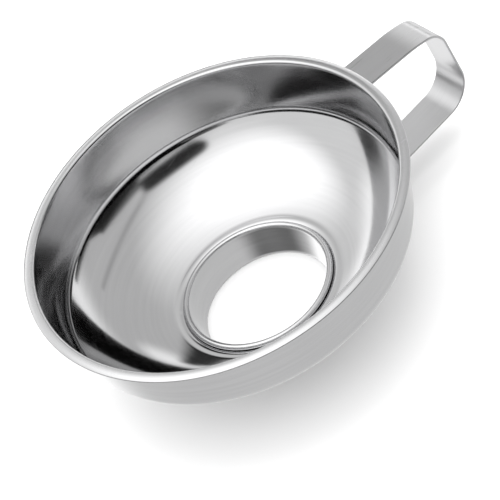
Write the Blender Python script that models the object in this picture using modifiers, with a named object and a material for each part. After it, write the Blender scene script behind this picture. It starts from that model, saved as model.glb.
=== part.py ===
"""Canning funnel: a drawn sheet-steel bowl, a short tapered spout and a bent strap handle.

Metres, +Z up. The origin is on the funnel's axis, in the plane of the spout's open end.
+X points at the handle, so the handle lies in the plane y = 0.
"""

import math

import bmesh
import bpy
from mathutils import Matrix, Vector

# Driving dimensions.
HEIGHT = 0.0525  # spout's open end to the top of the rim
RIM_RADIUS = 0.070  # outer edge of the rim flange
WALL_TOP_RADIUS = 0.0660  # inside of the wall where it meets the flange
CORNER_RADIUS = 0.0631  # inside of the wall where it would meet the dished floor
CORNER_HEIGHT = HEIGHT - 0.0216
SEAT_RADIUS = 0.0276  # dished floor at the spout's bead
SEAT_HEIGHT = HEIGHT - 0.0413
DISH_HOLLOW = 0.0150  # sets how far the floor is hollowed below a straight cone
DISH_FLARE = 0.0090  # sets how much steeper it gets towards the wall
CORNER_ROUNDING = 0.0060  # between the floor and the side wall
RIM_ROUNDING = 0.0011  # between the side wall and the rim flange
RIM_DROOP = 0.0005  # of the flange's outer edge
RIM_DROOP_RADIUS = 0.0683  # where the flange turns down towards that edge
RIM_CROWN = 0.0050  # radius of that turn
ROLL_ROUNDING = 0.0040  # where the floor turns down into the collar
ROLL_RADIUS = 0.0310  # where that turn begins
SHEET = 0.0007
GAP = 0.0003  # kept between pieces that touch

BEAD_RADIUS = 0.0011  # outside of the curl at the spout's top
BEAD_HEIGHT = HEIGHT - 0.0406
SPOUT_TOP_RADIUS = 0.0254  # inside, at the bead's middle height
SPOUT_END_RADIUS = 0.0234  # inside, at the open end
SPOUT_LIP = 0.0012  # length of the straight lip at the open end
SPOUT_TAPER = (SPOUT_TOP_RADIUS - SPOUT_END_RADIUS) / (BEAD_HEIGHT - SPOUT_LIP)
NECK_DEPTH = 0.0060  # of the collar that the floor turns down round the spout

STRAP_WIDTH = 0.0150
STRAP_THICKNESS = 0.0008
STRAP_END_ROUNDING = 0.0030
FOOT_GAP = 0.0005  # between a handle foot and the sheet, where the weld nuggets lie
FOOT_LENGTH = 0.0130
LOOP_SHOULDER = (0.0905, HEIGHT - 0.0041)  # corners where the loop's straight runs would meet
LOOP_OUTER_TOP = (0.1010, HEIGHT - 0.0068)
LOOP_OUTER_BOTTOM = (0.1022, HEIGHT - 0.0393)
LOOP_INNER_TOP_HEIGHT = HEIGHT - 0.0017
LOOP_UNDER_BOWL = (0.0640, HEIGHT - 0.0408)
LOWER_FOOT_OUTER_RADIUS = 0.0400
LOWER_FOOT_MIDDLE_RADIUS = 0.0358
LOWER_FOOT_INNER_RADIUS = 0.0315
UPPER_FOOT_BEND = 0.0018  # bend radii of the middle of the strap
SHOULDER_BEND = 0.0500
LOOP_TOP_BEND = 0.0075
LOOP_BOTTOM_BEND = 0.0112
UNDER_BOWL_BEND = 0.0500
LOWER_FOOT_BEND = 0.0050
LOWER_FOOT_CURVE = 0.0300  # of the foot itself, along the curved floor
FLAT_BEYOND_RADIUS = 0.0450  # the strap is flat across its width outside this
DISHED_WITHIN_RADIUS = 0.0410  # and follows the round floor inside this
FOOT_REACH = 0.0006  # radial slack within which a strap point counts as part of the upper foot

NUGGET_RADIUS = 0.0020
NUGGET_THICKNESS = 0.0003
NUGGET_SPREAD = 0.0034  # of the nuggets' centres either side of y = 0
NUGGET_WALL_HEIGHT = LOOP_INNER_TOP_HEIGHT - 0.0083
NUGGET_FLOOR_RADIUS = 0.03515
SEAM_SIZE = 0.0009  # of the weld fillet under the collar

ROUND_STEPS = 64
FLOOR_STEPS = 6
STRAP_COLUMNS = 6

BEAD_START = math.radians(-40)  # the bead's curl runs from here, below its outer side,
BEAD_STEP = math.radians(22)  # over the top and down to the tube's wall
BEAD_POINTS = 11

STEEL_COLOUR = (0.62, 0.62, 0.63, 1.0)
WELD_COLOUR = (0.45, 0.44, 0.43, 1.0)


def clear_scene():
    for thing in list(bpy.data.objects):
        bpy.data.objects.remove(thing, do_unlink=True)


def make_collection(name):
    collection = bpy.data.collections.new(name)
    bpy.context.scene.collection.children.link(collection)
    return collection


def steel(name, colour, roughness):
    material = bpy.data.materials.new(name)
    material.use_nodes = True
    shader = material.node_tree.nodes["Principled BSDF"]
    shader.inputs["Base Color"].default_value = colour
    shader.inputs["Metallic"].default_value = 1.0
    shader.inputs["Roughness"].default_value = roughness
    return material


def rounded_path(corners, radii, steps):
    """A path through the corners, with each inner corner rounded to its radius by an arc."""
    path = [Vector(corners[0])]
    for index, radius in enumerate(radii):
        before, corner, after = (Vector(corners[index + step]) for step in range(3))
        towards_start = (before - corner).normalized()
        towards_end = (after - corner).normalized()
        half_angle = towards_start.angle(towards_end) / 2
        bisector = (towards_start + towards_end).normalized()
        centre = corner + bisector * (radius / math.sin(half_angle))
        first = corner + towards_start * (radius / math.tan(half_angle)) - centre
        last = corner + towards_end * (radius / math.tan(half_angle)) - centre
        sweep = first.angle_signed(last)
        for step in range(steps + 1):
            turn = -sweep * step / steps
            path.append(centre + Matrix.Rotation(turn, 2) @ first)
    path.append(Vector(corners[-1]))
    return path


def floor_height(radius):
    """Height of the dished floor's upper face: hollowed below a straight cone, steeper outwards."""
    share = (radius - SEAT_RADIUS) / (CORNER_RADIUS - SEAT_RADIUS)
    straight = SEAT_HEIGHT + share * (CORNER_HEIGHT - SEAT_HEIGHT)
    return straight - share * (1 - share) * (DISH_HOLLOW + DISH_FLARE * share)


def floor_slope(radius):
    step = 1e-5
    return (floor_height(radius + step) - floor_height(radius - step)) / (2 * step)


def wall_radius(height):
    """Radius of the side wall's inner face."""
    share = (height - CORNER_HEIGHT) / (HEIGHT - CORNER_HEIGHT)
    return CORNER_RADIUS + share * (WALL_TOP_RADIUS - CORNER_RADIUS)


def spout_radius(height):
    """Radius of the spout tube's inner face, above its straight lip."""
    return SPOUT_END_RADIUS + (height - SPOUT_LIP) * SPOUT_TAPER


def neck_radius(height):
    """Radius of the inner face of the collar that the floor turns down round the spout."""
    return spout_radius(height) + (SHEET + GAP) * math.hypot(1, SPOUT_TAPER)


def new_object(name, mesh, material, collection):
    thing = bpy.data.objects.new(name, mesh)
    collection.objects.link(thing)
    mesh.materials.append(material)
    return thing


def profile_mesh(name, points, closed=False):
    mesh = bpy.data.meshes.new(name)
    edges = [(i, i + 1) for i in range(len(points) - 1)]
    if closed:
        edges.append((len(points) - 1, 0))
    mesh.from_pydata([(radius, 0, height) for radius, height in points], edges, [])
    return mesh


def spin(thing):
    screw = thing.modifiers.new("Spin", "SCREW")
    screw.axis = "Z"
    screw.angle = 2 * math.pi
    screw.steps = ROUND_STEPS
    screw.render_steps = ROUND_STEPS
    screw.use_merge_vertices = True
    screw.merge_threshold = 0.00005
    screw.use_smooth_shade = True
    return thing


def thicken(thing, thickness, offset):
    solidify = thing.modifiers.new("Sheet", "SOLIDIFY")
    solidify.thickness = thickness
    solidify.offset = offset
    solidify.use_even_offset = True
    return thing


def corner_path(steps):
    """The arc from the side wall to the floor, tangent to both, found by halving."""
    wall = Vector((WALL_TOP_RADIUS - CORNER_RADIUS, HEIGHT - CORNER_HEIGHT)).normalized()
    inward = Vector((-wall.y, wall.x))
    low, high = SEAT_RADIUS, CORNER_RADIUS
    for _ in range(40):
        radius = (low + high) / 2
        foot = Vector((radius, floor_height(radius)))
        centre = foot + Vector((-floor_slope(radius), 1)).normalized() * CORNER_ROUNDING
        if (centre - Vector((CORNER_RADIUS, CORNER_HEIGHT))).dot(inward) > CORNER_ROUNDING:
            low = radius
        else:
            high = radius
    first = -inward * CORNER_ROUNDING
    sweep = first.angle_signed(foot - centre)
    return [centre + Matrix.Rotation(-sweep * step / steps, 2) @ first for step in range(steps + 1)]


def make_bowl(material, collection):
    """Rim flange, side wall, dished floor and turned-down collar, drawn from one sheet."""
    neck_bottom = SEAT_HEIGHT - NECK_DEPTH
    neck_top = floor_height(ROLL_RADIUS)
    corner = corner_path(5)
    side = rounded_path(
        [
            (RIM_RADIUS, HEIGHT - RIM_DROOP),
            (RIM_DROOP_RADIUS, HEIGHT),
            (WALL_TOP_RADIUS, HEIGHT),
            corner[0],
        ],
        [RIM_CROWN, RIM_ROUNDING],
        5,
    )
    floor = []
    for step in range(1, FLOOR_STEPS):
        radius = corner[-1].x + (ROLL_RADIUS - corner[-1].x) * step / FLOOR_STEPS
        floor.append(Vector((radius, floor_height(radius))))
    roll = rounded_path(
        [
            (ROLL_RADIUS, neck_top),
            (neck_radius(neck_top), neck_top),
            (neck_radius(neck_bottom), neck_bottom),
        ],
        [ROLL_ROUNDING],
        6,
    )
    mesh = profile_mesh("bowl", side[:-1] + corner + floor + roll)
    return thicken(spin(new_object("bowl", mesh, material, collection)), SHEET, 1.0)


def make_spout(material, collection):
    """Tapered tube whose top is curled outwards into the bead that sits on the bowl's floor."""
    centre = SPOUT_TOP_RADIUS + BEAD_RADIUS
    curl = []
    for step in range(BEAD_POINTS):
        angle = BEAD_START + BEAD_STEP * step
        curl.append(
            (centre + BEAD_RADIUS * math.cos(angle), BEAD_HEIGHT + BEAD_RADIUS * math.sin(angle))
        )
    curl[-1] = (SPOUT_TOP_RADIUS, BEAD_HEIGHT)
    tube = [(spout_radius(BEAD_HEIGHT / 2), BEAD_HEIGHT / 2)]
    tube += [(SPOUT_END_RADIUS, height) for height in (SPOUT_LIP, 0.0)]
    mesh = profile_mesh("spout", curl + tube)
    return thicken(spin(new_object("spout", mesh, material, collection)), SHEET, 1.0)


def make_seam_weld(material, collection):
    """Fillet of weld metal that closes the corner between the collar's edge and the spout."""
    top = SEAT_HEIGHT - NECK_DEPTH - GAP
    inner = spout_radius(top) + SHEET + GAP
    corner = [(inner, top), (inner + SEAM_SIZE, top)]
    slope = [
        (inner + SEAM_SIZE * math.cos(angle), top - SEAM_SIZE * math.sin(angle))
        for angle in (math.radians(30), math.radians(60))
    ]
    foot = [(spout_radius(top - SEAM_SIZE) + SHEET + GAP, top - SEAM_SIZE)]
    mesh = profile_mesh("spout_seam_weld", corner + slope + foot, closed=True)
    return spin(new_object("spout_seam_weld", mesh, material, collection))


def upper_foot_radius(height):
    """Radius of the middle of the strap where it lies against the outside of the wall."""
    lean = (WALL_TOP_RADIUS - CORNER_RADIUS) / (HEIGHT - CORNER_HEIGHT)
    stand_off = SHEET + FOOT_GAP + STRAP_THICKNESS / 2
    return wall_radius(height) + stand_off * math.hypot(1, lean)


def lower_foot_height(radius):
    """Height of the middle of the strap where it lies against the underside of the floor."""
    stand_off = SHEET + FOOT_GAP + STRAP_THICKNESS / 2
    return floor_height(radius) - stand_off * math.hypot(1, floor_slope(radius))


def strap_path():
    """Corners and bend radii of the middle of the strap, from the upper foot's tip round the loop."""
    tip = LOOP_INNER_TOP_HEIGHT - FOOT_LENGTH
    corners = [
        (upper_foot_radius(tip), tip),
        (upper_foot_radius(LOOP_INNER_TOP_HEIGHT), LOOP_INNER_TOP_HEIGHT),
        LOOP_SHOULDER,
        LOOP_OUTER_TOP,
        LOOP_OUTER_BOTTOM,
        LOOP_UNDER_BOWL,
        (LOWER_FOOT_OUTER_RADIUS, lower_foot_height(LOWER_FOOT_OUTER_RADIUS)),
        (LOWER_FOOT_MIDDLE_RADIUS, lower_foot_height(LOWER_FOOT_MIDDLE_RADIUS)),
        (LOWER_FOOT_INNER_RADIUS, lower_foot_height(LOWER_FOOT_INNER_RADIUS)),
    ]
    bends = [
        UPPER_FOOT_BEND,
        SHOULDER_BEND,
        LOOP_TOP_BEND,
        LOOP_BOTTOM_BEND,
        UNDER_BOWL_BEND,
        LOWER_FOOT_BEND,
        LOWER_FOOT_CURVE,
    ]
    return rounded_path(corners, bends, 7)


def with_end_points(path):
    """The path with extra points close to its ends, where the strap's corners are rounded."""
    steps = 4
    shares = [(step / steps) ** 2 for step in range(1, steps + 1)]

    def end_points(tip, inner):
        along = (inner - tip).normalized() * STRAP_END_ROUNDING
        return [tip + along * share for share in shares]

    start = end_points(path[0], path[1])
    end = end_points(path[-1], path[-2])
    return [path[0], *start, *path[1:-1], *reversed(end), path[-1]]


def half_width(distance):
    """Half of the strap's width at a distance from its nearer end."""
    short = max(0.0, STRAP_END_ROUNDING - distance)
    rounding = STRAP_END_ROUNDING - math.sqrt(STRAP_END_ROUNDING**2 - short**2)
    return STRAP_WIDTH / 2 - rounding


def on_funnel(radius, height, across):
    """A strap point moved off the flat so that each foot lies round the wall or the floor."""
    if height > CORNER_HEIGHT:
        if radius < upper_foot_radius(HEIGHT) + FOOT_REACH:
            return (math.sqrt(radius**2 - across**2), across, height)
        return (radius, across, height)
    share = (FLAT_BEYOND_RADIUS - radius) / (FLAT_BEYOND_RADIUS - DISHED_WITHIN_RADIUS)
    share = min(1.0, max(0.0, share))
    rise = floor_slope(radius) * (math.hypot(radius, across) - radius)
    return (radius, across, height + share * rise)


def make_handle(material, collection):
    """Flat strap bent into a D-shaped loop, with a foot against the wall and one under the floor."""
    path = with_end_points(strap_path())
    lengths = [0.0]
    for before, after in zip(path, path[1:]):
        lengths.append(lengths[-1] + (after - before).length)
    form = bmesh.new()
    rows = []
    for point, along in zip(path, lengths):
        half = half_width(min(along, lengths[-1] - along))
        across = [half * (2 * column / STRAP_COLUMNS - 1) for column in range(STRAP_COLUMNS + 1)]
        rows.append([form.verts.new(on_funnel(point.x, point.y, y)) for y in across])
    for row, following in zip(rows, rows[1:]):
        for column in range(STRAP_COLUMNS):
            form.faces.new((row[column], row[column + 1], following[column + 1], following[column]))
    mesh = bpy.data.meshes.new("handle")
    form.to_mesh(mesh)
    form.free()
    mesh.shade_smooth()
    return thicken(new_object("handle", mesh, material, collection), STRAP_THICKNESS, 0.0)


def make_nugget(name, place, normal, material, collection):
    """One spot weld: a thin round nugget between a handle foot and the sheet."""
    form = bmesh.new()
    bmesh.ops.create_cone(
        form,
        cap_ends=True,
        segments=20,
        radius1=NUGGET_RADIUS,
        radius2=NUGGET_RADIUS,
        depth=NUGGET_THICKNESS,
    )
    mesh = bpy.data.meshes.new(name)
    form.to_mesh(mesh)
    form.free()
    nugget = new_object(name, mesh, material, collection)
    nugget.location = place
    nugget.rotation_mode = "QUATERNION"
    nugget.rotation_quaternion = normal.to_track_quat("Z", "Y")
    return nugget


def make_handle_welds(material, collection):
    stand_off = SHEET + FOOT_GAP / 2
    wall_lean = (WALL_TOP_RADIUS - CORNER_RADIUS) / (HEIGHT - CORNER_HEIGHT)
    on_wall = (wall_radius(NUGGET_WALL_HEIGHT), NUGGET_WALL_HEIGHT)
    on_floor = (NUGGET_FLOOR_RADIUS, floor_height(NUGGET_FLOOR_RADIUS))
    sites = {
        "upper": (*on_wall, Vector((1, 0, -wall_lean))),
        "lower": (*on_floor, Vector((floor_slope(NUGGET_FLOOR_RADIUS), 0, -1))),
    }
    for level, (radius, height, normal) in sites.items():
        normal.normalize()
        centre = Vector((radius, 0, height)) + normal * stand_off
        for side, sign in (("left", 1), ("right", -1)):
            turn = Matrix.Rotation(sign * math.asin(NUGGET_SPREAD / radius), 3, "Z")
            make_nugget(f"handle_weld_{level}_{side}", turn @ centre, turn @ normal, material, collection)


def main():
    clear_scene()
    funnel = make_collection("canning_funnel")
    make_bowl(steel("bowl_steel", STEEL_COLOUR, 0.10), funnel)
    make_spout(steel("spout_steel", STEEL_COLOUR, 0.12), funnel)
    make_handle(steel("handle_steel", STEEL_COLOUR, 0.22), funnel)
    weld = steel("weld_metal", WELD_COLOUR, 0.45)
    make_seam_weld(weld, funnel)
    make_handle_welds(weld, funnel)


main()
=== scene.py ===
import math

import bmesh
import bpy
from mathutils import Matrix, Vector


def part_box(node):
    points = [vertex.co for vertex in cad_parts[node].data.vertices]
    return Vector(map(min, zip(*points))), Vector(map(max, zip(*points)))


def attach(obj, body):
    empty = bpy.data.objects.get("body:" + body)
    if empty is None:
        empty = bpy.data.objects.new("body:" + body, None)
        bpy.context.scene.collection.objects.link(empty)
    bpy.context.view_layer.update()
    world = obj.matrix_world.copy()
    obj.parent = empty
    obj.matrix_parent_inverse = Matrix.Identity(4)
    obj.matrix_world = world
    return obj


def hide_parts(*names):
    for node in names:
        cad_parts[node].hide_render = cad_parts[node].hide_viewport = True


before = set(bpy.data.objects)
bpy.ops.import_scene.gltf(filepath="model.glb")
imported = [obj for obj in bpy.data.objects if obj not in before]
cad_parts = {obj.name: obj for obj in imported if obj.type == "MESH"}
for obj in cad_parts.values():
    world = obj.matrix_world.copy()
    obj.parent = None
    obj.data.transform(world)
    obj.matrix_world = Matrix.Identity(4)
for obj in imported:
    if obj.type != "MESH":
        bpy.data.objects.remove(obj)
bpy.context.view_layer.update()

# Read from the frame.
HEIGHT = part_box("bowl")[1][2]
RIM_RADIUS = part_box("bowl")[1][0]

# The bowl, as the part's source has it.
SHEET = 0.0007
GAP = 0.0003
WALL_TOP_RADIUS = 0.0660
CORNER_RADIUS = 0.0631
CORNER_HEIGHT = HEIGHT - 0.0216
SEAT_RADIUS = 0.0276
SEAT_HEIGHT = HEIGHT - 0.0413
DISH_HOLLOW = 0.0150
DISH_FLARE = 0.0090
CORNER_ROUNDING = 0.0060
RIM_ROUNDING = 0.0011
RIM_DROOP = 0.0005
RIM_DROOP_RADIUS = 0.0683
RIM_CROWN = 0.0050
ROLL_ROUNDING = 0.0040
ROLL_RADIUS = 0.0310
NECK_DEPTH = 0.0060

# The spout.
BEAD_RADIUS = 0.0011
BEAD_HEIGHT = HEIGHT - 0.0406
BEAD_START = -40  # in degrees: the curl starts low on the bead's outer side
BEAD_STEP = 10
BEAD_POINTS = 23
TUBE_DROP = 0.0002  # from the bead's centre down to the straight tube
LIP_ROUNDING = 0.0040
SPOUT_TOP_RADIUS = 0.0254
SPOUT_END_RADIUS = 0.0234
SPOUT_LIP = 0.0012
SPOUT_TAPER = (SPOUT_TOP_RADIUS - SPOUT_END_RADIUS) / (BEAD_HEIGHT - SPOUT_LIP)

# The handle.
STRAP_WIDTH = 0.0150
STRAP_THICKNESS = 0.0008
STRAP_EDGE = 0.00028  # rounding of the strip's long edges
STRAP_END_ROUNDING = 0.0030
FOOT_GAP = 0.0005
FOOT_LENGTH = 0.0130
LOOP_SHOULDER = (0.0905, HEIGHT - 0.0041)
LOOP_OUTER_TOP = (0.1010, HEIGHT - 0.0068)
LOOP_OUTER_BOTTOM = (0.1022, HEIGHT - 0.0393)
LOOP_INNER_TOP_HEIGHT = HEIGHT - 0.0017
LOOP_UNDER_BOWL = (0.0640, HEIGHT - 0.0408)
LOWER_FOOT_OUTER_RADIUS = 0.0400
LOWER_FOOT_MIDDLE_RADIUS = 0.0358
LOWER_FOOT_INNER_RADIUS = 0.0315
UPPER_FOOT_BEND = 0.0018
SHOULDER_BEND = 0.0500
LOOP_TOP_BEND = 0.0075
LOOP_BOTTOM_BEND = 0.0112
UNDER_BOWL_BEND = 0.0500
LOWER_FOOT_BEND = 0.0050
LOWER_FOOT_CURVE = 0.0300
FLAT_BEYOND_RADIUS = 0.0450
DISHED_WITHIN_RADIUS = 0.0410
FOOT_REACH = 0.0012
FOOT_EASE = 0.0014  # over which the upper foot's curve round the wall dies out
NUGGET_SPREAD = 0.0034
NUGGET_WALL_HEIGHT = LOOP_INNER_TOP_HEIGHT - 0.0083
NUGGET_FLOOR_RADIUS = 0.03515
DIMPLE_RADIUS = 0.0026  # of the electrode's mark over each spot weld
DIMPLE_DEPTH = 0.00016
DIMPLE_NARROWING = 1.15
DIMPLE_STEEPNESS = 6
DIMPLE_LIP = 0.25  # height of the lip pushed up round the mark, as a share of its depth
DIMPLE_LIP_PLACE = 1.15  # in mark radii, as the reach is
DIMPLE_REACH = 1.6

# The weld seam under the floor.
SEAM_SIZE = 0.0009
SEAM_RIPPLES = 110
SEAM_RIPPLE_STEPS = 8
SEAM_RIPPLE_DEPTH = 0.16
SEAM_ARC_STEPS = 8

# The camera, aimed a little beside the rim's centre.
CAMERA_DISTANCE = 1.050
CAMERA_AZIMUTH = math.radians(-18.2)
CAMERA_ELEVATION = math.radians(43.19)
CAMERA_ROLL = math.radians(31.25)
AIM_RIGHT = 0.01244
AIM_UP = -0.01291
LENS = 226.06
SENSOR_WIDTH = 36.0
CLIP_END = 20.0

# How finely the shapes are divided.
ROUND = 288  # steps round a turned shape
HALVINGS = 40  # to find where the corner's arc meets the floor
BEND_STEPS = 20
RIM_STEPS = 12
FLOOR_STEPS = 40
LIP_STEPS = 6
SHEET_EDGE_STEPS = 5
STRAP_COLUMNS = 24
STRAP_EDGE_STEPS = 4
BOWL_SPACING = 0.0012
SPOUT_SPACING = 0.0008
STRAP_SPACING = 0.0005
SLOPE_STEP = 0.00001
FACE_SHARE = 0.49  # a strap point more than this share of the thickness off the middle is on a face
SHARP_ANGLE = math.radians(50)

# The look of the steel. Scales are noise cells per metre, and pairs are a low and a high limit.
STEEL = (0.60, 0.60, 0.605)
DARKER = 0.955
LIGHTER = 1.03
WORN = 1.12
WORN_SHARE = 0.6
RUBBED = (0.52, 0.60)  # pointiness of an edge that starts to look rubbed, and of one that fully does
TONES = (0.3, 0.7)
SMEAR_SCALE = 26.0
SMEARS = (0.42, 0.72)
SMEAR_DULLNESS = 0.35
WAVE_SCALE = 18.0
WAVE_DEPTH = 0.00002
GRAIN_DETAIL = 5.0
RING_SCALE = 700.0
BRUSH_SCALE = 2500.0
BRUSH_STRETCH = (0.02, 1, 0.02)
HAIRS = ((0.6, 0.735), (-1.1, 0.75))  # turn of each set of scratches, noise above which one shows
HAIR_TILT = (0.3, 0.2)
HAIR_SCALE = (40.0, 2600.0, 40.0)
HAIR_EASE = 0.03
HAIR_DULLNESS = 0.06
SCRATCH_DEPTH = 0.000001
BOWL_ROUGHNESS = 0.075
SPOUT_ROUGHNESS = 0.15
STRAP_ROUGHNESS = 0.29
TURNED_DEPTH = 0.000001
TURNED_GLOSS = 0.06
BRUSHED_DEPTH = 0.000002
BRUSHED_GLOSS = 0.10
WALL_DULLNESS = 0.04
WALL_EASE = 0.0045  # height over which it sets in, through the rounded corner
RIM_DULLNESS = 0.14

# The look of the welds.
HEAT_SCALE = 260.0
HEAT = (0.35, 0.65)
HEAT_BLUE = (0.36, 0.37, 0.42, 1)
HEAT_STRAW = (0.50, 0.44, 0.36, 1)
GRIT_SCALE = 4200.0
GRIT = (0.3, 0.7)
GRIT_ROUGHNESS = (0.30, 0.52)
GRIT_DEPTH = 0.00003

# The studio. Places and widths on the softbox and the table are in units of PANEL_HEIGHT.
PANEL_HEIGHT = 2.0
SOFTBOX = (  # outline, with notches in its front edge
    (-3.6, 3.4), (-3.6, -2.8), (-1.0, -2.4), (-0.78, -1.4), (-0.66, -1.06), (-0.2, -1.19), (0.21, -1.22),
    (0.28, -1.14), (0.65, -1.06), (1.15, -0.93), (1.6, -1.02), (2.2, -0.72), (2.9, -0.35), (3.6, -1.4),
    (14.0, -7.0), (14.0, 14.0), (3.6, 8.0), (-3.6, 8.0),
)
WASH = (-0.35, 0.72)  # from left to right, where the softbox changes from one light to the other
WASH_LEFT = 1.0
WASH_RIGHT = 0.68
SPOTS = (  # brighter places on the softbox: centre, radius, radius with its soft edge, light
    ((-0.38, 0.12, 1.0), 0.25, 1.15, 0.95),
    ((1.30, 1.35, 1.0), 0.05, 0.50, 0.60),
    ((-0.60, 2.50, 1.0), 0.40, 1.25, 0.45),
)
BACK_STRIP = ((0.90, 2.90, 1.0), (4.20, 3.90, 1.0), 0.50, 1.70)  # laid out like a flag, but bright
BACK_STRIP_LIGHT = 0.90
FAR_RIGHT = (1.8, 3.2)  # from left to right, where the far light sets in
FAR_RIGHT_LIGHT = 0.60
FLAGS = (  # dark strips on the softbox: start, end, half width, half width with its soft edge, depth
    ((-0.50, -0.87, 1.0), (0.10, -0.97, 1.0), 0.12, 0.21, 0.98),
    ((0.22, -1.09, 1.0), (1.10, -0.94, 1.0), 0.02, 0.10, 0.85),
    ((0.20, -0.88, 1.0), (1.50, -0.10, 1.0), 0.01, 0.09, 0.30),
    ((0.54, 1.14, 1.0), (1.00, 1.56, 1.0), 0.08, 0.24, 0.95),
    ((-0.95, -1.65, 1.0), (-2.00, -2.20, 1.0), 0.30, 0.75, 0.90),
)
TABLE_REACH = 20.0
TABLE_LIGHT = 0.80
TABLE_SPOT = ((-0.35, 1.40, -1.0), 0.20, 0.95, 0.75)  # laid out like the softbox's spots
TABLE_FAR = (1.3, 2.6)  # from front to back, where the far light sets in
TABLE_FAR_LIGHT = 0.50
TABLE_SHADE = ((-1.80, -1.30, -1.0), (-1.90, 0.30, -1.0), 0.10, 1.35)  # laid out like a flag
TABLE_SHADE_DEPTH = 0.76
FLOOR_REACH = 6.0
FLOOR_SIDES = 96
PAPER = (0.86, 0.86, 0.86, 1.0)
PAPER_ROUGHNESS = 0.9
PAPER_SHINE = 0.1
AIR = (1.0, 1.0, 1.0, 1.0)
AIR_LIGHT = 1.7
KEY_LIGHT = 1.0
KEY_SPREAD = math.radians(50)
KEY_TILT = (math.radians(-12), math.radians(10), 0)


def rounded_path(corners, radii, steps):
    """A path through the corners, with each inner corner rounded to its radius by an arc."""
    path = [Vector(corners[0])]
    for index, radius in enumerate(radii):
        before, corner, after = (Vector(corners[index + step]) for step in range(3))
        towards_start = (before - corner).normalized()
        towards_end = (after - corner).normalized()
        half_angle = towards_start.angle(towards_end) / 2
        bisector = (towards_start + towards_end).normalized()
        centre = corner + bisector * (radius / math.sin(half_angle))
        first = corner + towards_start * (radius / math.tan(half_angle)) - centre
        last = corner + towards_end * (radius / math.tan(half_angle)) - centre
        sweep = first.angle_signed(last)
        for step in range(steps + 1):
            turn = -sweep * step / steps
            path.append(centre + Matrix.Rotation(turn, 2) @ first)
    path.append(Vector(corners[-1]))
    return path


def floor_height(radius):
    """Height of the dished floor's upper face: a chord from the hole to the wall, hollowed downwards."""
    share = (radius - SEAT_RADIUS) / (CORNER_RADIUS - SEAT_RADIUS)
    straight = SEAT_HEIGHT + share * (CORNER_HEIGHT - SEAT_HEIGHT)
    return straight - share * (1 - share) * (DISH_HOLLOW + DISH_FLARE * share)


def floor_slope(radius):
    """Rise of the floor per unit of radius."""
    rise = floor_height(radius + SLOPE_STEP) - floor_height(radius - SLOPE_STEP)
    return rise / (2 * SLOPE_STEP)


def wall_radius(height):
    """Radius of the side wall's inner face."""
    share = (height - CORNER_HEIGHT) / (HEIGHT - CORNER_HEIGHT)
    return CORNER_RADIUS + share * (WALL_TOP_RADIUS - CORNER_RADIUS)


def spout_radius(height):
    """Radius of the spout's inner face."""
    return SPOUT_END_RADIUS + (height - SPOUT_LIP) * SPOUT_TAPER


def neck_radius(height):
    """Radius of the inner face of the collar, which surrounds the spout."""
    return spout_radius(height) + (SHEET + GAP) * math.hypot(1, SPOUT_TAPER)


def resampled(path, spacing):
    """The path with long runs divided, so that no step is longer than spacing."""
    fine = [path[0]]
    for before, after in zip(path, path[1:]):
        pieces = max(1, math.ceil((after - before).length / spacing))
        fine += [before.lerp(after, step / pieces) for step in range(1, pieces + 1)]
    return fine


def path_normals(path):
    """Unit normals of a plane path, turned a quarter left of its direction."""
    normals = []
    for index in range(len(path)):
        before = path[max(index - 1, 0)]
        after = path[min(index + 1, len(path) - 1)]
        along = (after - before).normalized()
        normals.append(Vector((-along.y, along.x)))
    return normals


def sheet_section(path, thickness):
    """Closed outline of a sheet whose face is the path, thickened to its left, with round edges."""
    normals = path_normals(path)
    half = thickness / 2
    middle = [point + normal * half for point, normal in zip(path, normals)]
    outline = list(path)
    for step in range(1, SHEET_EDGE_STEPS):
        turn = math.pi * step / SHEET_EDGE_STEPS
        outline.append(middle[-1] + Matrix.Rotation(turn, 2) @ (-normals[-1] * half))
    outline += [point + normal * thickness for point, normal in zip(path, normals)][::-1]
    for step in range(1, SHEET_EDGE_STEPS):
        turn = math.pi * step / SHEET_EDGE_STEPS
        outline.append(middle[0] + Matrix.Rotation(turn, 2) @ (normals[0] * half))
    return outline


def bridge(form, rings, closed):
    """Faces between each ring of vertices and the next, and from the last to the first if closed."""
    count = len(rings[0])
    following = rings[1:] + rings[:1] if closed else rings[1:]
    for ring, next_ring in zip(rings, following):
        for index in range(count):
            onward = (index + 1) % count
            form.faces.new((ring[index], ring[onward], next_ring[onward], next_ring[index]))


def finished(name, form):
    """The form as a smoothly shaded object in the scene."""
    bmesh.ops.recalc_face_normals(form, faces=form.faces[:])
    mesh = bpy.data.meshes.new(name)
    form.to_mesh(mesh)
    form.free()
    mesh.shade_smooth()
    piece = bpy.data.objects.new(name, mesh)
    bpy.context.scene.collection.objects.link(piece)
    return piece


def turned(name, outline):
    """A closed outline of (radius, height) turned round the funnel's axis."""
    form = bmesh.new()
    rings = []
    for step in range(ROUND):
        angle = 2 * math.pi * step / ROUND
        turn = (math.cos(angle), math.sin(angle))
        rings.append([form.verts.new((r * turn[0], r * turn[1], z)) for r, z in outline])
    bridge(form, rings, closed=True)
    return finished(name, form)


def corner_path():
    """The arc from the side wall to the floor, tangent to both, found by halving."""
    wall = Vector((WALL_TOP_RADIUS - CORNER_RADIUS, HEIGHT - CORNER_HEIGHT)).normalized()
    inward = Vector((-wall.y, wall.x))
    low, high = SEAT_RADIUS, CORNER_RADIUS
    for _ in range(HALVINGS):
        radius = (low + high) / 2
        foot = Vector((radius, floor_height(radius)))
        centre = foot + Vector((-floor_slope(radius), 1)).normalized() * CORNER_ROUNDING
        if (centre - Vector((CORNER_RADIUS, CORNER_HEIGHT))).dot(inward) > CORNER_ROUNDING:
            low = radius
        else:
            high = radius
    first = -inward * CORNER_ROUNDING
    sweep = first.angle_signed(foot - centre)
    turns = [-sweep * step / BEND_STEPS for step in range(BEND_STEPS + 1)]
    return [centre + Matrix.Rotation(turn, 2) @ first for turn in turns]


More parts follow.
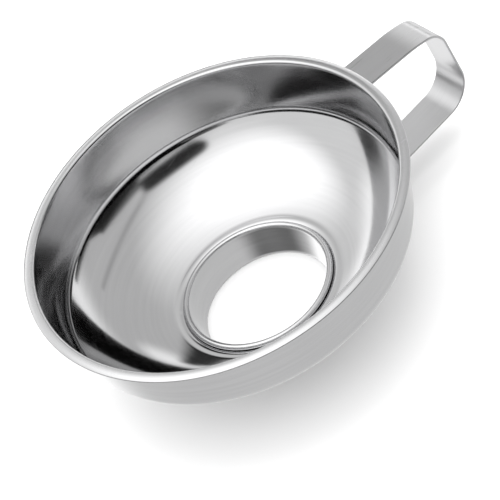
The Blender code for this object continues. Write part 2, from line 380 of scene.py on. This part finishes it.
def bowl_path():
    """Inner face of the bowl in section, from the rim's outer edge to the foot of the collar."""
    neck_bottom = SEAT_HEIGHT - NECK_DEPTH
    neck_top = floor_height(ROLL_RADIUS)
    corner = corner_path()
    side = rounded_path(
        [
            (RIM_RADIUS - SHEET / 2, HEIGHT - RIM_DROOP),
            (RIM_DROOP_RADIUS, HEIGHT),
            (WALL_TOP_RADIUS, HEIGHT),
            corner[0],
        ],
        [RIM_CROWN, RIM_ROUNDING],
        RIM_STEPS,
    )
    edge = corner[-1].x
    floor = []
    for step in range(1, FLOOR_STEPS):
        radius = edge + (ROLL_RADIUS - edge) * step / FLOOR_STEPS
        floor.append(Vector((radius, floor_height(radius))))
    roll = rounded_path(
        [
            (ROLL_RADIUS, neck_top),
            (neck_radius(neck_top), neck_top),
            (neck_radius(neck_bottom), neck_bottom + SHEET / 2),
        ],
        [ROLL_ROUNDING],
        BEND_STEPS,
    )
    return resampled(side[:-1] + corner, BOWL_SPACING) + floor + resampled(roll, BOWL_SPACING)


def make_bowl():
    """The bowl's sheet, from the rim to the collar."""
    bowl = turned("bowl_shell", sheet_section(bowl_path(), SHEET))
    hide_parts("bowl")
    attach(bowl, "root")
    return bowl


def spout_path():
    """Inner face of the spout in section: the curled bead, then the tube down to its lip."""
    centre = SPOUT_TOP_RADIUS + BEAD_RADIUS
    curl = []
    for step in range(BEAD_POINTS):
        angle = math.radians(BEAD_START + BEAD_STEP * step)
        offset = Vector((math.cos(angle), math.sin(angle))) * BEAD_RADIUS
        curl.append(Vector((centre, BEAD_HEIGHT)) + offset)
    tube = rounded_path(
        [
            (SPOUT_TOP_RADIUS, BEAD_HEIGHT - TUBE_DROP),
            (spout_radius(SPOUT_LIP), SPOUT_LIP),
            (SPOUT_END_RADIUS, SHEET / 2),
        ],
        [LIP_ROUNDING],
        LIP_STEPS,
    )
    return curl + resampled(tube, SPOUT_SPACING)


def make_spout():
    """The spout's tube and its curled bead."""
    spout = turned("spout_tube", sheet_section(spout_path(), SHEET))
    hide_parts("spout")
    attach(spout, "root")
    return spout


def upper_foot_radius(height):
    """Radius of the strap's middle where it lies against the outside of the side wall."""
    lean = (WALL_TOP_RADIUS - CORNER_RADIUS) / (HEIGHT - CORNER_HEIGHT)
    stand_off = SHEET + FOOT_GAP + STRAP_THICKNESS / 2
    return wall_radius(height) + stand_off * math.hypot(1, lean)


def lower_foot_height(radius):
    """Height of the strap's middle where it lies against the underside of the floor."""
    stand_off = SHEET + FOOT_GAP + STRAP_THICKNESS / 2
    return floor_height(radius) - stand_off * math.hypot(1, floor_slope(radius))


def strap_path():
    """Middle of the strap in the plane y = 0, from the upper foot round the loop to the lower foot."""
    tip = LOOP_INNER_TOP_HEIGHT - FOOT_LENGTH
    corners = [
        (upper_foot_radius(tip), tip),
        (upper_foot_radius(LOOP_INNER_TOP_HEIGHT), LOOP_INNER_TOP_HEIGHT),
        LOOP_SHOULDER,
        LOOP_OUTER_TOP,
        LOOP_OUTER_BOTTOM,
        LOOP_UNDER_BOWL,
        (LOWER_FOOT_OUTER_RADIUS, lower_foot_height(LOWER_FOOT_OUTER_RADIUS)),
        (LOWER_FOOT_MIDDLE_RADIUS, lower_foot_height(LOWER_FOOT_MIDDLE_RADIUS)),
        (LOWER_FOOT_INNER_RADIUS, lower_foot_height(LOWER_FOOT_INNER_RADIUS)),
    ]
    bends = [
        UPPER_FOOT_BEND,
        SHOULDER_BEND,
        LOOP_TOP_BEND,
        LOOP_BOTTOM_BEND,
        UNDER_BOWL_BEND,
        LOWER_FOOT_BEND,
        LOWER_FOOT_CURVE,
    ]
    return resampled(rounded_path(corners, bends, BEND_STEPS), STRAP_SPACING)


def half_width(distance):
    """Half the strap's width at a distance from its nearer end, whose corners are rounded."""
    short = max(0.0, STRAP_END_ROUNDING - distance)
    rounding = STRAP_END_ROUNDING - math.sqrt(STRAP_END_ROUNDING**2 - short**2)
    return STRAP_WIDTH / 2 - rounding


def on_funnel(radius, height, across):
    """A strap point moved off the flat so that each foot lies round the wall or the floor."""
    if height > CORNER_HEIGHT:
        share = (upper_foot_radius(HEIGHT) + FOOT_REACH - radius) / FOOT_EASE
        share = min(1.0, max(0.0, share))
        return Vector((radius - share * (radius - math.sqrt(radius**2 - across**2)), across, height))
    share = (FLAT_BEYOND_RADIUS - radius) / (FLAT_BEYOND_RADIUS - DISHED_WITHIN_RADIUS)
    share = min(1.0, max(0.0, share))
    rise = floor_slope(radius) * (math.hypot(radius, across) - radius)
    return Vector((radius, across, height + share * rise))


def strap_section(half):
    """Outline of the strip as (across, through), with round edges."""
    flat = half - STRAP_EDGE
    deep = STRAP_THICKNESS / 2 - STRAP_EDGE
    outline = []
    for step in range(STRAP_COLUMNS + 1):
        outline.append((flat * (2 * step / STRAP_COLUMNS - 1), STRAP_THICKNESS / 2))
    for step in range(1, STRAP_EDGE_STEPS + 1):
        angle = math.pi / 2 * (1 - step / STRAP_EDGE_STEPS)
        outline.append((flat + STRAP_EDGE * math.cos(angle), deep + STRAP_EDGE * math.sin(angle)))
    mirrored = [(-across, -through) for across, through in outline]
    return outline + mirrored


def nugget_places():
    """Centre of each spot weld on the sheet that the handle's feet lie against."""
    places = {}
    for side, sign in (("left", 1), ("right", -1)):
        for level, radius, height in (
            ("upper", wall_radius(NUGGET_WALL_HEIGHT), NUGGET_WALL_HEIGHT),
            ("lower", NUGGET_FLOOR_RADIUS, floor_height(NUGGET_FLOOR_RADIUS)),
        ):
            across = sign * NUGGET_SPREAD
            places[level, side] = Vector((math.sqrt(radius**2 - across**2), across, height))
    return places


def dimple(place, centres):
    """Depth of the electrodes' marks at a place on the strap's face."""
    depth = 0.0
    for centre in centres:
        share = (place - centre).length / DIMPLE_RADIUS
        if share < DIMPLE_REACH:
            mark = math.exp(-((share * DIMPLE_NARROWING) ** DIMPLE_STEEPNESS))
            lip = math.exp(-(((share - DIMPLE_LIP_PLACE) * DIMPLE_STEEPNESS) ** 2))
            depth += DIMPLE_DEPTH * (mark - DIMPLE_LIP * lip)
    return depth


def make_handle():
    """The strap, with its feet lying round the wall and the floor and the electrodes' marks on them."""
    path = strap_path()
    normals = path_normals(path)
    lengths = [0.0]
    for before, after in zip(path, path[1:]):
        lengths.append(lengths[-1] + (after - before).length)
    stand_off = SHEET + FOOT_GAP + STRAP_THICKNESS
    lean = (WALL_TOP_RADIUS - CORNER_RADIUS) / (HEIGHT - CORNER_HEIGHT)
    normals_at = {
        "upper": Vector((1, 0, -lean)).normalized(),
        "lower": Vector((floor_slope(NUGGET_FLOOR_RADIUS), 0, -1)).normalized(),
    }
    centres = [place + normals_at[level] * stand_off for (level, _), place in nugget_places().items()]
    form = bmesh.new()
    rings = []
    for point, normal, along in zip(path, normals, lengths):
        half = half_width(min(along, lengths[-1] - along))
        outward = Vector((normal.x, 0, normal.y))
        ring = []
        for across, through in strap_section(half):
            place = on_funnel(point.x, point.y, across) + outward * through
            if abs(through) > STRAP_THICKNESS * FACE_SHARE:
                place -= outward * math.copysign(dimple(place, centres), through)
            ring.append(form.verts.new(place))
        rings.append(ring)
    bridge(form, rings, closed=False)
    form.faces.new(rings[0])
    form.faces.new(rings[-1][::-1])
    strap = finished("handle_strap", form)
    strap.data.set_sharp_from_angle(angle=SHARP_ANGLE)
    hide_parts("handle")
    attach(strap, "root")
    return strap


def make_seam_bead():
    """The fillet of weld metal under the floor: a ring of overlapping ripples round the spout."""
    top = SEAT_HEIGHT - NECK_DEPTH - GAP
    inner = spout_radius(top) + SHEET + GAP
    steps = SEAM_RIPPLES * SEAM_RIPPLE_STEPS
    form = bmesh.new()
    rings = []
    for step in range(steps):
        angle = 2 * math.pi * step / steps
        ripple = (step % SEAM_RIPPLE_STEPS) / SEAM_RIPPLE_STEPS
        size = SEAM_SIZE * (1 - SEAM_RIPPLE_DEPTH * ripple**2)
        outline = [(inner, top)]
        for share in range(SEAM_ARC_STEPS + 1):
            turn = math.pi / 2 * share / SEAM_ARC_STEPS
            outline.append((inner + size * math.cos(turn), top - size * math.sin(turn)))
        rings.append([form.verts.new((r * math.cos(angle), r * math.sin(angle), z)) for r, z in outline])
    bridge(form, rings, closed=True)
    bead = finished("seam_bead", form)
    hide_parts("spout_seam_weld")
    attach(bead, "root")
    return bead


# Materials. Each builds its own node tree; places are the object's own coordinates, in metres.


def add(tree, kind, inputs=(), **settings):
    """A node of this kind, with each input set to a value or linked from a socket."""
    node = tree.nodes.new(kind)
    for name, value in settings.items():
        setattr(node, name, value)
    for socket, value in dict(inputs).items():
        if isinstance(value, bpy.types.NodeSocket):
            tree.links.new(value, node.inputs[socket])
        else:
            node.inputs[socket].default_value = value
    return node


def maths(tree, operation, first, second=0.0, third=0.0):
    inputs = {0: first, 1: second, 2: third}
    return add(tree, "ShaderNodeMath", inputs, operation=operation).outputs[0]


def remap(tree, value, low, high, to_low, to_high):
    """The value eased from one range to the other, and held beyond its ends."""
    inputs = {"Value": value, "From Min": low, "From Max": high, "To Min": to_low, "To Max": to_high}
    return add(tree, "ShaderNodeMapRange", inputs, interpolation_type="SMOOTHSTEP").outputs[0]


def noise(tree, vector, scale, detail=3.0, w=None):
    """Smooth noise over space or, with w, over space and one more direction."""
    inputs = {"Vector": vector, "Scale": scale, "Detail": detail}
    if w is not None:
        inputs["W"] = w
    return add(tree, "ShaderNodeTexNoise", inputs, noise_dimensions="3D" if w is None else "4D").outputs[0]


def place_of(tree):
    return add(tree, "ShaderNodeTexCoord").outputs["Object"]


def scaled(tree, vector, factors):
    inputs = {0: vector, 1: factors}
    return add(tree, "ShaderNodeVectorMath", inputs, operation="MULTIPLY").outputs[0]


def turned_grain(tree, place):
    """Fine rings about the funnel's axis, as spinning and buffing leave them, that come and go."""
    flat = scaled(tree, place, (1, 1, 0))
    radius = add(tree, "ShaderNodeVectorMath", {0: flat}, operation="LENGTH").outputs["Value"]
    facing = add(tree, "ShaderNodeVectorMath", {0: flat}, operation="NORMALIZE").outputs[0]
    facing = add(tree, "ShaderNodeSeparateXYZ", {0: facing})
    height = add(tree, "ShaderNodeSeparateXYZ", {0: place}).outputs[2]
    inputs = {
        0: maths(tree, "MULTIPLY", radius, RING_SCALE),
        1: maths(tree, "MULTIPLY", height, RING_SCALE),
        2: facing.outputs[0],
    }
    vector = add(tree, "ShaderNodeCombineXYZ", inputs).outputs[0]
    return noise(tree, vector, 1.0, GRAIN_DETAIL, w=facing.outputs[1])


def lengthwise_grain(tree, place):
    """Fine lines along the strap, whichever way it bends in the plane y = 0."""
    return noise(tree, scaled(tree, place, BRUSH_STRETCH), BRUSH_SCALE, GRAIN_DETAIL)


def scratches(tree, place):
    """Sparse hair scratches in two directions, 0 to 1."""
    found = []
    for turn, limit in HAIRS:
        inputs = {"Vector": place, "Rotation": HAIR_TILT + (turn,), "Scale": HAIR_SCALE}
        lines = noise(tree, add(tree, "ShaderNodeMapping", inputs).outputs[0], 1.0, 2.0)
        found.append(remap(tree, lines, limit, limit + HAIR_EASE, 0.0, 1.0))
    return maths(tree, "MAXIMUM", *found)


def bumped(tree, height, distance, normal=None):
    """The normal tilted by a relief that is distance high."""
    inputs = {"Height": height, "Distance": distance, "Strength": 1.0}
    if normal is not None:
        inputs["Normal"] = normal
    return add(tree, "ShaderNodeBump", inputs).outputs[0]


def blend_colours(tree, share, first, second):
    inputs = {0: share, 6: first, 7: second}
    return add(tree, "ShaderNodeMix", inputs, data_type="RGBA").outputs[2]


def bowl_dullness(tree, place):
    """Extra roughness of the corner, the side wall and the rim, which are buffed less than the floor."""
    height = add(tree, "ShaderNodeSeparateXYZ", {0: place}).outputs[2]
    wall = remap(tree, height, CORNER_HEIGHT - WALL_EASE, CORNER_HEIGHT, 0.0, WALL_DULLNESS)
    rim = remap(tree, height, HEIGHT - RIM_ROUNDING, HEIGHT - RIM_DROOP, 0.0, RIM_DULLNESS)
    return maths(tree, "ADD", wall, rim)


def metal(name):
    """A new metallic material, with its node tree and its shader."""
    material = bpy.data.materials.new(name)
    material.use_nodes = True
    tree = material.node_tree
    shader = tree.nodes["Principled BSDF"]
    shader.inputs["Metallic"].default_value = 1.0
    return material, tree, shader


def steel_tone(share):
    """The steel's colour, darker or lighter."""
    return tuple(min(1.0, channel * share) for channel in STEEL) + (1.0,)


def steel(name, roughness, grain_of, grain_depth, grain_gloss, dullness_of=None):
    """Stainless sheet: grain, large soft waves, faint smears, hair scratches and brighter rubbed edges."""
    material, tree, shader = metal(name)
    place = place_of(tree)
    grain = grain_of(tree, place)
    smears = noise(tree, place, SMEAR_SCALE)
    waves = noise(tree, place, WAVE_SCALE, 1.0)
    hairs = scratches(tree, place)
    rubbed = remap(tree, add(tree, "ShaderNodeNewGeometry").outputs["Pointiness"], *RUBBED, 0.0, 1.0)

    tone = maths(tree, "MULTIPLY_ADD", grain, 0.5, maths(tree, "MULTIPLY", smears, 0.5))
    share = remap(tree, tone, *TONES, 0.0, 1.0)
    base = blend_colours(tree, share, steel_tone(DARKER), steel_tone(LIGHTER))
    base = blend_colours(tree, maths(tree, "MULTIPLY", rubbed, WORN_SHARE), base, steel_tone(WORN))
    tree.links.new(base, shader.inputs["Base Color"])

    rough = maths(tree, "MULTIPLY_ADD", maths(tree, "SUBTRACT", grain, 0.5), grain_gloss, roughness)
    rough = maths(tree, "ADD", rough, remap(tree, smears, *SMEARS, 0.0, roughness * SMEAR_DULLNESS))
    rough = maths(tree, "MULTIPLY_ADD", hairs, HAIR_DULLNESS, rough)
    if dullness_of:
        rough = maths(tree, "ADD", rough, dullness_of(tree, place))
    tree.links.new(rough, shader.inputs["Roughness"])

    normal = bumped(tree, waves, WAVE_DEPTH)
    normal = bumped(tree, grain, grain_depth, normal)
    normal = bumped(tree, hairs, -SCRATCH_DEPTH, normal)
    tree.links.new(normal, shader.inputs["Normal"])
    return material


def weld_metal():
    """Fused metal, duller than the sheet, with straw and blue heat colours."""
    material, tree, shader = metal("weld_metal_look")
    place = place_of(tree)
    heat = noise(tree, place, HEAT_SCALE, 2.0)
    grit = noise(tree, place, GRIT_SCALE, 4.0)
    tint = blend_colours(tree, remap(tree, heat, *HEAT, 0.0, 1.0), HEAT_BLUE, HEAT_STRAW)
    tree.links.new(tint, shader.inputs["Base Color"])
    tree.links.new(remap(tree, grit, *GRIT, *GRIT_ROUGHNESS), shader.inputs["Roughness"])
    tree.links.new(bumped(tree, grit, GRIT_DEPTH), shader.inputs["Normal"])
    return material


def dress(piece, material):
    """The piece in this material only."""
    piece.data.materials.clear()
    piece.data.materials.append(material)


# The studio: a pale floor, and panels that only the polished steel sees.


def panel(name, outline, height, paint):
    """A flat panel overhead or, at a negative height, below. Its outline is in units of that height."""
    reach = abs(height)
    form = bmesh.new()
    form.faces.new([form.verts.new((x * reach, y * reach, height)) for x, y in outline])
    made = finished(name, form)
    dress(made, paint)
    for ray in ("camera", "diffuse", "shadow", "transmission", "volume_scatter"):
        setattr(made, "visible_" + ray, False)


def glowing(name):
    """A material that only gives light, its node tree, and places on it in units of the panels' height."""
    material = bpy.data.materials.new(name)
    material.use_nodes = True
    tree = material.node_tree
    tree.nodes.remove(tree.nodes["Principled BSDF"])
    glow = add(tree, "ShaderNodeEmission")
    tree.links.new(glow.outputs[0], tree.nodes["Material Output"].inputs[0])
    return material, tree, scaled(tree, place_of(tree), (1 / PANEL_HEIGHT,) * 3)


def gap_between(tree, first, second):
    return add(tree, "ShaderNodeVectorMath", {0: first, 1: second}, operation="DISTANCE").outputs["Value"]


def streak(tree, place, start, end, core, fade):
    """1 within core of the line from start to end, falling softly to 0 at fade."""
    start, end = Vector(start), Vector(end)
    line = end - start
    from_start = add(tree, "ShaderNodeVectorMath", {0: place, 1: start}, operation="SUBTRACT").outputs[0]
    along = add(tree, "ShaderNodeVectorMath", {0: from_start, 1: line}, operation="DOT_PRODUCT")
    inputs = {0: along.outputs["Value"], 1: 1 / line.length_squared}
    share = add(tree, "ShaderNodeMath", inputs, operation="MULTIPLY", use_clamp=True).outputs[0]
    offset = add(tree, "ShaderNodeVectorMath", {0: line, 3: share}, operation="SCALE").outputs[0]
    nearest = add(tree, "ShaderNodeVectorMath", {0: offset, 1: start}, operation="ADD").outputs[0]
    return remap(tree, gap_between(tree, place, nearest), core, fade, 1.0, 0.0)


def patch(tree, place, centre, core, fade, strength):
    """strength within core of the centre, falling softly to 0 at fade."""
    return remap(tree, gap_between(tree, place, centre), core, fade, strength, 0.0)


def darkened(tree, light, shade, depth):
    """The light less its shade, which takes away depth of it where it is 1."""
    shade = maths(tree, "MULTIPLY", shade, depth)
    return maths(tree, "MULTIPLY", light, maths(tree, "SUBTRACT", 1.0, shade))


def softbox_paint():
    """Light from the left to the right, with a hot spot over the funnel, brighter places and dark flags."""
    material, tree, place = glowing("softbox_paint")
    across = add(tree, "ShaderNodeSeparateXYZ", {0: place}).outputs[0]
    light = remap(tree, across, *WASH, WASH_LEFT, WASH_RIGHT)
    for spot in SPOTS:
        light = maths(tree, "ADD", light, patch(tree, place, *spot))
    strip = maths(tree, "MULTIPLY", streak(tree, place, *BACK_STRIP), BACK_STRIP_LIGHT)
    light = maths(tree, "ADD", light, strip)
    light = maths(tree, "ADD", light, remap(tree, across, *FAR_RIGHT, 0.0, FAR_RIGHT_LIGHT))
    for start, end, core, fade, depth in FLAGS:
        light = darkened(tree, light, streak(tree, place, start, end, core, fade), depth)
    tree.links.new(light, tree.nodes["Emission"].inputs["Strength"])
    return material


def table_paint():
    """The pale table as the steel sees it: lighter behind the funnel, shaded to the left."""
    material, tree, place = glowing("table_paint")
    back = add(tree, "ShaderNodeSeparateXYZ", {0: place}).outputs[1]
    light = maths(tree, "ADD", TABLE_LIGHT, patch(tree, place, *TABLE_SPOT))
    light = maths(tree, "ADD", light, remap(tree, back, *TABLE_FAR, 0.0, TABLE_FAR_LIGHT))
    light = darkened(tree, light, streak(tree, place, *TABLE_SHADE), TABLE_SHADE_DEPTH)
    tree.links.new(light, tree.nodes["Emission"].inputs["Strength"])
    return material


def make_studio():
    """The softbox overhead and the table below, as the steel sees them."""
    panel("tent", SOFTBOX, PANEL_HEIGHT, softbox_paint())
    corners = [(x * TABLE_REACH, y * TABLE_REACH) for x, y in ((-1, -1), (1, -1), (1, 1), (-1, 1))]
    panel("table", corners, -PANEL_HEIGHT, table_paint())


def make_floor():
    """White paper, which the steel doesn't see: it sees the table panel instead."""
    form = bmesh.new()
    bmesh.ops.create_circle(form, cap_ends=True, segments=FLOOR_SIDES, radius=FLOOR_REACH)
    floor = finished("floor", form)
    material = bpy.data.materials.new("floor_paper")
    material.use_nodes = True
    shader = material.node_tree.nodes["Principled BSDF"]
    shader.inputs["Base Color"].default_value = PAPER
    shader.inputs["Roughness"].default_value = PAPER_ROUGHNESS
    shader.inputs["Specular IOR Level"].default_value = PAPER_SHINE
    dress(floor, material)
    floor.visible_glossy = False


def make_lights():
    """Even light from all round and one large soft key from above, neither of which the steel sees."""
    world = bpy.data.worlds.new("studio_air")
    bpy.context.scene.world = world
    world.use_nodes = True
    world.node_tree.nodes["Background"].inputs["Color"].default_value = AIR
    world.node_tree.nodes["Background"].inputs["Strength"].default_value = AIR_LIGHT
    world.cycles_visibility.glossy = False
    data = bpy.data.lights.new("key", "SUN")
    data.energy = KEY_LIGHT
    data.angle = KEY_SPREAD
    key = bpy.data.objects.new("key", data)
    key.rotation_euler = KEY_TILT
    key.visible_glossy = False
    bpy.context.scene.collection.objects.link(key)


def make_camera():
    """The camera stands off the rim's centre and aims a little beside it, rolled about its line of sight."""
    target = Vector((0, 0, HEIGHT))
    outward = Vector((0, -math.cos(CAMERA_ELEVATION), math.sin(CAMERA_ELEVATION)))
    outward.rotate(Matrix.Rotation(CAMERA_AZIMUTH, 3, "Z"))
    place = target + outward * CAMERA_DISTANCE
    level = (-outward).to_track_quat("-Z", "Y").to_matrix()
    rolled = level @ Matrix.Rotation(-CAMERA_ROLL, 3, "Z")
    aim = target + rolled @ Vector((AIM_RIGHT, AIM_UP, 0))
    looking = (aim - place).to_track_quat("-Z", "Y").to_matrix() @ Matrix.Rotation(-CAMERA_ROLL, 3, "Z")
    data = bpy.data.cameras.new("camera")
    data.lens = LENS
    data.sensor_width = SENSOR_WIDTH
    data.clip_end = CLIP_END
    camera = bpy.data.objects.new("camera", data)
    bpy.context.scene.collection.objects.link(camera)
    camera.matrix_world = Matrix.Translation(place) @ looking.to_4x4()
    bpy.context.scene.camera = camera


dress(make_bowl(), steel("bowl_look", BOWL_ROUGHNESS, turned_grain, TURNED_DEPTH, TURNED_GLOSS, bowl_dullness))
dress(make_spout(), steel("spout_look", SPOUT_ROUGHNESS, turned_grain, TURNED_DEPTH, TURNED_GLOSS))
dress(make_handle(), steel("handle_look", STRAP_ROUGHNESS, lengthwise_grain, BRUSHED_DEPTH, BRUSHED_GLOSS))
fused = weld_metal()
dress(make_seam_bead(), fused)
for level in ("upper", "lower"):
    for side in ("left", "right"):
        dress(bpy.data.objects[f"handle_weld_{level}_{side}"], fused)
make_floor()
make_lights()
make_studio()
make_camera()
bpy.context.scene.view_settings.view_transform = "Standard"
